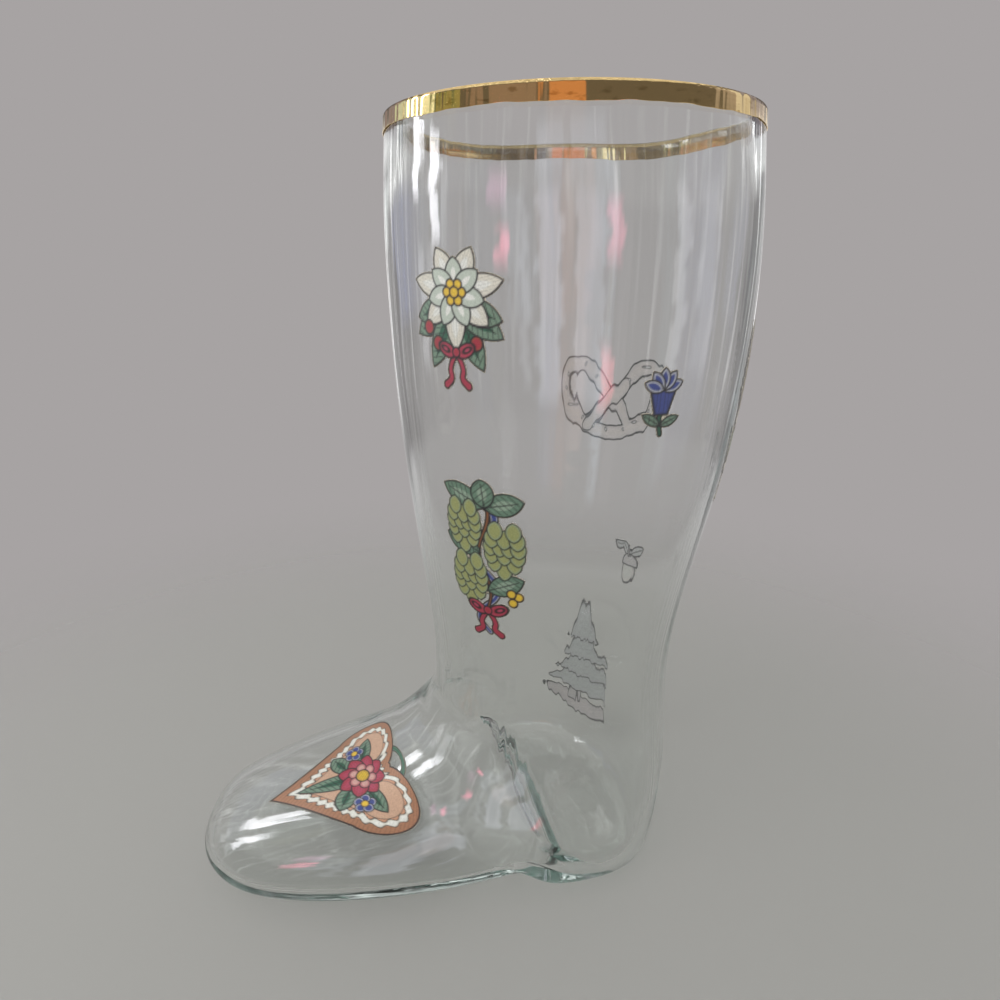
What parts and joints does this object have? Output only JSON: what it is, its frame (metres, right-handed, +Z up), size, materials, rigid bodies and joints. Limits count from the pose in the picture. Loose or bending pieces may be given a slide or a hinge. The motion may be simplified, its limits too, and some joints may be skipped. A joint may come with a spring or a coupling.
{
  "type": "beer boot glass",
  "caption": "Beer boot glass: a blown clear glass boot with a hollow leg and foot, pressed flat under heel and sole, a gilded rim band and fired folk-motif prints on its wall.",
  "frame": {"origin": "on the ground, below the middle of the boot's box", "axes": "+Z up the leg to the open rim; -X along the foot to the toe; Y across the boot"},
  "size_m": [0.1917, 0.1168, 0.25],
  "materials": {
    "clear_glass": "polished",
    "rim_gold": "polished",
    "edelweiss_print": "satin",
    "gentian_print": "satin",
    "hop_print": "satin",
    "heart_print": "satin",
    "pretzel_print": "satin",
    "barley_print": "satin",
    "acorn_print": "satin",
    "fir_print": "satin"
  },
  "bodies": {
    "root": {"boot_glass": "clear_glass", "rim_gold_band": "rim_gold", "edelweiss_transfer": "edelweiss_print", "gentian_transfer": "gentian_print", "hop_transfer": "hop_print", "heart_transfer": "heart_print", "pretzel_transfer": "pretzel_print", "barley_transfer": "barley_print", "acorn_transfer": "acorn_print", "fir_transfer": "fir_print"}
  },
  "joints": []
}
